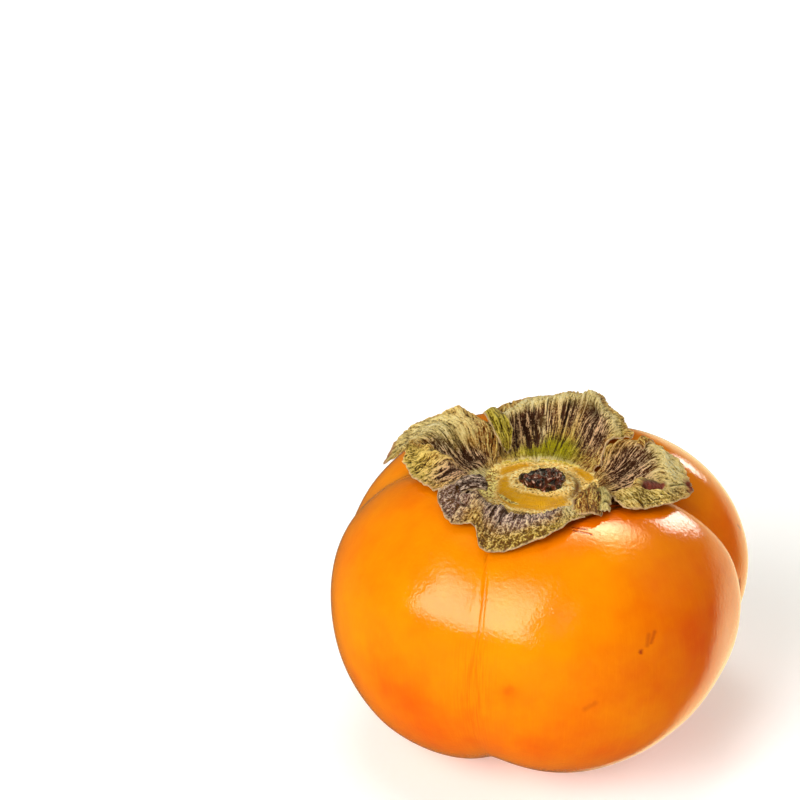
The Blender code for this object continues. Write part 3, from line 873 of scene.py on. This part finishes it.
def marks_of(where):
    """The strongest of all the marks at a place on the skin."""
    group = stroke_group()
    wobble = times(minus(noise_of(where, 1.6, 2.0), 0.5), 0.5)
    strongest = 0.0
    for start, end, half_width, strength in MARKS:
        inputs = {"Place": where, "Half Width": half_width, "Wobble": wobble}
        for key, (azimuth, latitude) in (("Start", start), ("End", end)):
            inputs[key] = (azimuth * AROUND, latitude * ALONG, 0.0)
        mark = follow("ShaderNodeGroup", inputs, node_tree=group).outputs["Mask"]
        strongest = maths("MAXIMUM", times(mark, strength), strongest)
    return strongest


def skin_look():
    """Skin: waxy orange, yellower by the key side, redder where riper and under a painted shade below the
    calyx, with a fine peel texture.
    """
    made, tree, shader = material("waxy skin", Specular_IOR_Level=0.45, Specular_Tint=(1.0, 0.86, 0.58, 1.0))
    where, surface = object_place(tree), uv_of(tree)
    broad = noise_of(where, 60.0, 3.0, 0.6)
    mottle = noise_of(where, 260.0, 4.0, 0.6)
    ripe_and_shade = plus(mask_of(tree, "ripe_and_shade"), times(minus(broad, 0.5), 1.1))
    ripe_and_shade = maths("ADD", ripe_and_shade, times(minus(mottle, 0.5), 0.35), clamp=True)
    streaks = noise_of(scaled(surface, (3.2, 0.12, 1.0)), 1.0, 4.0, 0.6)
    stripes = times(spread(streaks, 0.56, 0.36, 0.1, 1.0), mask_of(tree, "stripes"))
    marks = marks_of(surface)
    colour = coated(
        mixed(ripe_and_shade, (0.81, 0.240, 0.0), (0.66, 0.077, 0.0)),
        (spread(streaks, 0.5, 0.8, 0.0, 0.12), (0.92, 0.32, 0.0)),
        (times(stripes, 0.55), (0.62, 0.060, 0.0)),
        (spread(marks, 0.0, 0.6), (0.42, 0.050, 0.003)),
        (spread(marks, 0.5, 1.0, 0.0, 0.9), (0.050, 0.012, 0.003)),
    )
    peel = noise_of(where, 1300.0, 3.0, 0.55)
    normal = bump_of(mottle, 0.00012, 0.5)
    normal = bump_of(peel, 0.00006, normal=normal)
    normal = bump_of(minus(1.0, marks), 0.00008, 0.8, normal=normal)
    link_surface(shader, colour, spread(mottle, 0.2, 0.8, 0.07, 0.15), normal)
    return made


# ---- Pieces ----

def make_skin():
    """The fruit's surface on a fine grid of azimuth and latitude, with shallow swells in the skin.

    The swells are broad noise less a crease along the seam, with fine lines beside the seam. They fade
    out towards both poles and stop at the foot.
    """
    azimuth = np.concatenate([np.arange(*sector) for sector in SKIN_SECTORS])
    step = np.linspace(-1.0, 1.0, SKIN_RINGS + 2)[1:-1]
    latitude = 90.0 * (0.6 * np.sin(np.pi / 2 * step) + 0.4 * step)
    grid_latitude, grid_azimuth = np.meshgrid(latitude, azimuth, indexing="ij")
    rings = fruit_surface(grid_azimuth, grid_latitude)
    away = rings - np.array([0.0, 0.0, EQUATOR_HEIGHT])
    away /= np.linalg.norm(away, axis=-1, keepdims=True)
    seam_azimuth = np.interp(grid_latitude, SEAM_LATITUDES, SEAM_AZIMUTHS)
    seam = np.exp(-((grid_azimuth - seam_azimuth) / SEAM_HALF_WIDTH) ** 2)
    crease = SEAM_DEPTH * np.interp(grid_latitude, *SEAM_STRENGTH) * seam
    lines = 0.018 * noise(grid_azimuth / 0.9, grid_latitude / 30.0 + 50.0, 19)
    lines = lines * spot(grid_azimuth, grid_latitude, (-24.0, 20.0), (6.0, 60.0))
    swell = 0.10 * noise(grid_azimuth / 15.0, grid_latitude / 12.0 + 20.0, 3, period=24) - crease + lines
    swell = swell * ease((90.0 - np.abs(grid_latitude)) / 30.0) * (rings[..., 2] > 2.0)
    points, faces = capped(rings + away * swell[..., None])
    ripe_and_shade = np.full(grid_azimuth.shape, SKIN_RIPENESS)
    for centre, size, amount in RIPE_AND_SHADE_PATCHES:
        turn = turn_between(grid_azimuth, centre[0])
        ripe_and_shade += amount * spot(turn, grid_latitude - centre[1], (0, 0), size)
    stripes = spot(grid_azimuth - seam_azimuth, grid_latitude, (0.5, -4.0), (4.5, 22.0))
    stripes += seam * ease((grid_latitude - 12.0) / 12.0)
    masks = {"ripe_and_shade": np.append(ripe_and_shade, [0.3, 0.3]), "stripes": np.append(stripes, [0.0, 0.0])}
    uv = np.stack([grid_azimuth * AROUND, grid_latitude * ALONG], -1).reshape(-1, 2)
    uv = np.concatenate([uv, [[0.0, -90.0 * ALONG], [0.0, 90.0 * ALONG]]])
    piece = new_piece("fruit_skin", points, faces, skin_look(), uv, masks)
    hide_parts("fruit_body")


def leaf_relief(u, v, seed, sandy):
    """Dried leaf over millimetres across and along: long strands, shorter ones and a grain of noise.

    Where sandy is 1 the strands give way to the grain.
    """
    warp = noise(u / 5.0, v / 4.0 + 9.0, seed + 11)
    strands = ribbed(u / 0.62 + 1.6 * warp, v / 5.0 + 3.0, seed + 12)
    finer = ribbed(u / 0.34 + 2.8 * warp, v / 2.6 + 5.0, seed + 13)
    patchy = 0.70 + 0.70 * np.abs(noise(u / 1.4 + 7.0, v / 1.6 + 2.0, seed + 14))
    grain = noise(u / 0.34, v / 0.40 + 3.0, seed + 30)
    lined = (0.50 * strands + 0.45 * finer) * patchy + 0.14 * grain
    return lined * (1.0 - 0.8 * sandy) + 0.30 * sandy * grain


def make_leaf(name, sheet, sizes, seed, look, masks, press, calm=1.0):
    """A sheet pushed along its normal by crumples, relief and press; thin and ragged at its edges.

    sizes are its two sides in millimetres; press is added to the height of its upper face; calm scales
    the relief.
    """
    sides = [np.linspace(0.0, 1.0, count) for count in sheet.shape[:2]]
    across, along = np.meshgrid(*sides, indexing="ij")
    u, v = across * sizes[0], along * sizes[1]
    up = normals(sheet)
    if up[..., 2].mean() < 0:
        up = -up
    sideways, forward = np.gradient(sheet, axis=(0, 1))
    sideways /= np.linalg.norm(sideways, axis=-1, keepdims=True)
    forward /= np.linalg.norm(forward, axis=-1, keepdims=True)
    relief = leaf_relief(u, v, seed, np.clip(masks.get("sandy", 0.0), 0.0, 1.0))
    pleats = noise(u / 1.7 + 0.6 * noise(v / 5.0, u / 6.0, seed + 5), v / 9.0 + 2.0, seed + 6)
    crumple = layered(u / 4.0, v / 4.0 + 5.0, seed) + 1.1 * calm * pleats
    fade = ease((along - 0.04) / 0.22)
    edge = np.minimum(np.minimum(u, sizes[0] - u), sizes[1] - v)
    thick = LEAF_THICKNESS[0] + (LEAF_THICKNESS[1] - LEAF_THICKNESS[0]) * ease(edge / 2.0)
    ragged = 0.30 * layered(u / 1.3, 3.0, seed + 40) * ease((along - 0.80) / 0.20)
    frayed = 0.25 * layered(v / 1.3, 3.0, seed + 50) * ease((np.abs(across - 0.5) - 0.46) / 0.04)
    base = sheet + forward * ragged[..., None] + sideways * frayed[..., None]
    top = base + up * ((LEAF_CRUMPLE * crumple + LEAF_RELIEF * calm * relief + press) * fade)[..., None]
    bottom = base + up * ((LEAF_CRUMPLE * crumple + press) * fade - thick)[..., None]
    points, faces = two_faced(top, bottom)
    masks = {mask: np.broadcast_to(masks.get(mask, 0.0), u.shape) for mask in MASKS + ("painted_shade",)}
    masks["relief"] = 0.5 + relief * (0.4 + 0.6 * calm)
    # The pale edge, partly a painted highlight
    masks["pale_edge_and_highlight"] = np.exp(-(edge / LEAF_MARGIN) ** 2)
    masks = {mask: np.tile(np.ravel(values), 2) for mask, values in masks.items()}
    uv = np.tile(np.stack([u, v], -1).reshape(-1, 2), (2, 1))
    piece = new_piece(name, points, faces, look, uv, masks)
    return piece


def tear_slit(across, along, press, masks):
    """A raised rim over a steep wall: two bells along the lobe, inside a flat-topped window across it.

    The wall is maroon, with painted shade under the rim and at its inner end.
    """
    (middle, half_width), (rim, bed) = SLIT_ACROSS, SLIT_ALONG
    window = np.exp(-((across - middle) / half_width) ** 4)
    press += window * SLIT_RIM * np.exp(-((along - rim) / 0.055) ** 2)
    press -= window * SLIT_DEPTH * np.exp(-((along - bed) / 0.075) ** 2)
    wall = window * spot(0.0, along, (0.0, rim + 0.11), (1.0, 0.055))
    masks["maroon"] = np.maximum(masks["maroon"], 1.6 * wall)
    # Painted shade under the slit's rim and at its inner end
    under_rim = window * spot(0.0, along, (0.0, rim + 0.050), (1.0, 0.028))
    end = spot(across, along, (middle - 0.055, rim + 0.09), (0.014, 0.07))
    masks["painted_shade"] = np.maximum(masks["painted_shade"] * (window < 0.3), np.maximum(0.9 * under_rim, end))


def make_lobe(node, seed, look):
    """A calyx lobe: its plain sheet with patches of colour, furrows, dents and, on the right, a slit."""
    start, end = LOBE_SPANS[node]
    across = np.linspace(start, end, LOBE_GRID[0])
    along = np.linspace(-LOBE_UNDERLAP, 1.0, LOBE_GRID[1])
    sheet = lobe_surface(LOBE_STATIONS[node], across, along)
    width = run_length(sheet[:, LOBE_GRID[1] // 2])
    grid_across, grid_along = np.meshgrid(across, along, indexing="ij")
    masks = painted(LOBE_PATCHES[node], grid_across, grid_along)
    sizes = np.array([width / (end - start), LEAF_LENGTH])
    u, v = grid_across * sizes[0], grid_along * sizes[1]
    # Furrows and the deepest dents are painted with shade as well as pressed in
    press, masks["painted_shade"] = furrowed(LOBE_FURROWS[node], u, v, sizes)
    for centre, size, rise in LOBE_DENTS[node]:
        bell = spot(u, v, centre * sizes, size)
        press += rise * bell
        masks["painted_shade"] = np.maximum(masks["painted_shade"], 0.9 * bell * (rise < -1.0))
    if node == "calyx_lobe_right":
        tear_slit(grid_across, grid_along, press, masks)
    sides = (width, LEAF_LENGTH * (1.0 + LOBE_UNDERLAP))
    piece = make_leaf(node + "_leaf", sheet, sides, seed, look, masks, press)
    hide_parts(node)


def make_fold(name, fold, seed, look):
    """A small fold of dried leaf: a smooth sheet through rows of points, finished as the lobes are."""
    rows = np.array([[place(*point) for point in row] for row in fold["rows"]])
    across, along = (np.linspace(0.0, 1.0, count) for count in FOLD_GRID)
    sheet = np.swapaxes(through(np.swapaxes(through(rows, across), 0, 1), along), 0, 1)
    sizes = np.array([run_length(sheet[:, FOLD_GRID[1] // 2]), run_length(sheet[FOLD_GRID[0] // 2])])
    across, along = np.meshgrid(across, along, indexing="ij")
    press, painted_shade = furrowed(fold["furrows"], across * sizes[0], along * sizes[1], sizes)
    # Painted shade over the far edge of the shaded folds
    if name in SHADED_FOLDS:
        painted_shade = np.maximum(painted_shade, 0.9 * ease((along - 0.88) / 0.10))
    make_leaf(name, sheet, sizes, seed, look, {**fold["paint"], "painted_shade": painted_shade}, press, fold["calm"])


def make_disc(look):
    """The disc: rings round its centre whose height follows a plate, a collar, grooves and fine grains."""
    azimuth = all_round(DISC_GRID[1], DISC_SEAM)
    reach = np.linspace(0.15, DISC_RADIUS + 0.7, DISC_GRID[0])
    grid_reach, grid_azimuth = np.meshgrid(reach, azimuth, indexing="ij")
    x, y = grid_reach * np.sin(np.radians(grid_azimuth)), -grid_reach * np.cos(np.radians(grid_azimuth))
    masks = painted(DISC_PATCHES, grid_azimuth, grid_reach, turn_between)
    grains = layered(x / 0.42 + 40.0, y / 0.42 + 40.0, 9, 2)
    rough = 1.0 - 0.85 * np.clip(masks["amber"], 0, 1)
    fibres = ribbed(grid_azimuth / 4.0, grid_reach / 1.5 + 4.0, 12)
    height = np.interp(grid_reach, *DISC_PROFILE) + 0.12 * layered(x / 2.2 + 20.0, y / 2.2 + 20.0, 5)
    height = height + 0.13 * grains * rough + 0.30 * fibres * masks["cream"] - 0.30 * masks["arc"]
    masks["relief"] = 0.5 + 0.5 * grains * rough + 0.8 * fibres * masks["cream"]
    top = place(grid_azimuth, grid_reach, height)
    under, skirt = (place(azimuth, np.full(azimuth.size, ring), level) for ring, level in DISC_UNDERSIDE)
    points, faces = capped(np.concatenate([[under], [skirt], top[::-1]]) + DISC_CENTRE)
    rows = np.append([-1, -1], np.arange(reach.size)[::-1])
    masks = {mask: np.pad(values[rows].ravel(), (0, 2), mode="edge") for mask, values in masks.items()}
    uv = np.stack([np.radians(grid_azimuth) * DISC_MEAN_REACH, grid_reach], -1)[rows].reshape(-1, 2)
    piece = new_piece("calyx_disc_plate", points, faces, look, np.pad(uv, ((0, 2), (0, 0))), masks)
    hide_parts("calyx_disc")


def make_stub(look):
    """The broken stalk: rings whose radius wavers with azimuth, with a ragged rim and a hollow top."""
    azimuth = all_round(STUB_GRID[1], STUB_SEAM)
    angle = np.radians(azimuth)
    level = np.linspace(0.0, 1.0, STUB_GRID[0])
    stops = (0, 0.15, 0.45, 0.60, 0.75, 1.0)
    share = np.interp(level, stops, (1.02, 1.0, 0.97, 0.84, 0.60, 0.05))
    rise = np.interp(level, stops, (0, 0.2, 0.8, 1.0, 0.85, 0.5))
    height = STUB_FOOT_HEIGHT + (STUB_TOP_HEIGHT - STUB_FOOT_HEIGHT) * rise
    waver = 1.0 + 0.12 * np.sin(3 * angle + 0.7) + 0.05 * np.sin(7 * angle + 2.0) - 0.08 * np.cos(2 * angle)
    grid_level, grid_azimuth = np.meshgrid(level, azimuth, indexing="ij")
    ridges = 0.08 * ribbed(grid_azimuth / 12.0, grid_level * 3.0, 8) * ease(grid_level / 0.1)
    reach = STUB_RADIUS * share[:, None] * (waver + ridges * 0.8)
    crags = 0.8 * noise(grid_azimuth / 30.0, grid_level * 6.0, 31, period=12)
    crags = crags + 0.5 * ribbed(grid_azimuth / 14.0, grid_level * 7.0, 33)
    crags = crags + 0.4 * ribbed(grid_azimuth / 5.0, grid_level * 16.0, 34)
    crags = crags * ease((grid_level - 0.3) / 0.3)
    points, faces = capped(place(grid_azimuth, reach, height[:, None] + crags) + STUB_CENTRE)
    piece = new_piece("stem_stub_wood", points, faces, look)
    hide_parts("stem_stub")


def make_remnant(look):
    """The style remnant: a small dry cone, wide at the dimple's roof, with a wavering outline."""
    level = np.linspace(0.0, 1.0, REMNANT_GRID[0])
    share = np.interp(level, (0, 0.4, 0.85, 1.0), (0.2, 0.6, 1.0, 0.9))
    grid_level, grid_azimuth = np.meshgrid(level, all_round(REMNANT_GRID[1]), indexing="ij")
    waver = 1.0 + 0.10 * noise(grid_azimuth / 30.0, grid_level * 3.0, 41, period=12)
    height = REMNANT_TIP_HEIGHT + (REMNANT_ROOF_HEIGHT - REMNANT_TIP_HEIGHT) * grid_level
    points, faces = capped(place(grid_azimuth, REMNANT_RADIUS * share[:, None] * waver, height))
    piece = new_piece("style_remnant_point", points, faces, look)
    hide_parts("style_remnant")


make_skin()
lobe_material = lobe_look()
for number, node in enumerate(LOBE_STATIONS):
    make_lobe(node, 100 + 60 * number, lobe_material)
for number, (name, fold) in enumerate(FOLDS.items()):
    make_fold(name, fold, 400 + 60 * number, lobe_material)
make_disc(disc_look())
stalk_material = stalk_look()
make_stub(stalk_material)
make_remnant(stalk_material)


# ---- Floor, lights and camera ----

def make_floor():
    """A wide pale floor under the fruit."""
    mesh = bpy.data.meshes.new("floor")
    corners = [(x * FLOOR_SIDE, y * FLOOR_SIDE, 0) for x, y in ((-1, -1), (1, -1), (1, 1), (-1, 1))]
    mesh.from_pydata(corners, [], [(0, 1, 2, 3)])
    made, tree, shader = material("pale floor", Roughness=0.6, Specular_IOR_Level=0.2,
                                  Emission_Color=(1.0, 1.0, 1.0, 1.0), Emission_Strength=0.25)
    tone = noise_of(object_place(tree), 3.0, 2.0)
    tree.links.new(mixed(tone, (0.90, 0.90, 0.90), (0.93, 0.93, 0.93)), shader.inputs["Base Color"])
    mesh.materials.append(made)
    floor = bpy.data.objects.new("floor", mesh)
    floor.visible_glossy = False
    bpy.context.scene.collection.objects.link(floor)


def make_softbox(name, place_at, faces, size, radiance, fades, seen_by="both", tint=(1.0, 1.0, 1.0)):
    """A rectangular area light at a point, turned to face another, lit as radiance times pi times area.

    Its cloth dims towards its left, right, bottom and top edges over the given shares of its size.
    """
    light = bpy.data.lights.new(name, "AREA")
    light.shape = "RECTANGLE"
    light.size, light.size_y = size
    light.energy = radiance * math.pi * light.size * light.size_y
    light.color = tint
    light.use_nodes = True
    tree = light.node_tree
    cloth = add(tree, "ShaderNodeNewGeometry").outputs["Parametric"]
    spot_on = follow("ShaderNodeSeparateXYZ", {0: cloth})
    left, right, bottom, top = fades
    glow = 1.0
    sides = (("X", 0.0, left), ("X", 1.0, 1.0 - right), ("Y", 0.0, bottom), ("Y", 1.0, 1.0 - top))
    for side, dark, bright in sides:
        inputs = {0: spot_on.outputs[side], 1: dark, 2: bright}
        ramp = follow("ShaderNodeMapRange", inputs, interpolation_type="SMOOTHSTEP")
        glow = times(ramp.outputs[0], glow)
    tree.links.new(glow, tree.nodes["Emission"].inputs["Strength"])
    lamp = bpy.data.objects.new(name, light)
    lamp.visible_diffuse = seen_by != "gloss"
    lamp.visible_glossy = seen_by != "matt"
    lamp.location = place_at
    lamp.rotation_euler = (Vector(place_at) - Vector(faces)).to_track_quat("Z", "Y").to_euler()
    bpy.context.scene.collection.objects.link(lamp)


def upright_softbox(name, azimuth, heights, width, radiance, fades, *seen_by_and_tint):
    """A softbox that stands upright at an azimuth, between two heights, and faces the fruit's axis."""
    turn = math.radians(azimuth)
    middle = sum(heights) / 2
    place_at = (SOFTBOX_DISTANCE * math.sin(turn), -SOFTBOX_DISTANCE * math.cos(turn), middle)
    size = (width, heights[1] - heights[0])
    make_softbox(name, place_at, (0.0, 0.0, middle), size, radiance, fades, *seen_by_and_tint)


make_floor()
upright_softbox("key_softbox", -41, (0.34, 3.1), 1.40, 8.6, (0.07, 0.12, 0.04, 0.75))
make_softbox("top_softbox", (-0.2, 0.1, 1.9), (0.0, 0.0, 0.05), (1.0, 1.0), 6.0, (0.3,) * 4, "matt")
upright_softbox("thin_softbox", -4, (0.55, 1.9), 0.13, 3.4, (0.4, 0.4, 0.1, 0.5), "gloss")
upright_softbox("strip_softbox", 141, (0.28, 1.05), 0.56, 12.0, (0.3,) * 4, "gloss")
make_softbox("back_softbox", (0.36, 0.64, 1.55), (0.0, 0.0, 0.03), (1.9, 1.3), 25.0, (0.5,) * 4, "gloss",
             (1.0, 0.97, 0.78))
upright_softbox("rim_softbox", 146, (-2.2, 0.5), 1.9, 1.45, (0.2,) * 4, "gloss", (1.0, 0.82, 0.45))
upright_softbox("fill_softbox", 95, (0.2, 2.2), 2.0, 1.8, (0.1,) * 4, "matt")

world = bpy.data.worlds.new("studio")
world.use_nodes = True
world.node_tree.nodes["Background"].inputs["Color"].default_value = WORLD_COLOUR
bpy.context.scene.world = world
bpy.context.scene.view_settings.view_transform = "Standard"

back = Vector((0.0, -math.cos(CAMERA_ELEVATION), math.sin(CAMERA_ELEVATION)))
camera_data = bpy.data.cameras.new("camera")
camera_data.sensor_width = CAMERA_SENSOR
camera_data.lens = CAMERA_SENSOR / 2 / math.tan(CAMERA_VIEW / 2)
camera = bpy.data.objects.new("camera", camera_data)
camera.location = CAMERA_AIM + Vector(AXIS) + back * CAMERA_DISTANCE
camera.rotation_euler = back.to_track_quat("Z", "Y").to_euler()
bpy.context.scene.collection.objects.link(camera)
bpy.context.scene.camera = camera
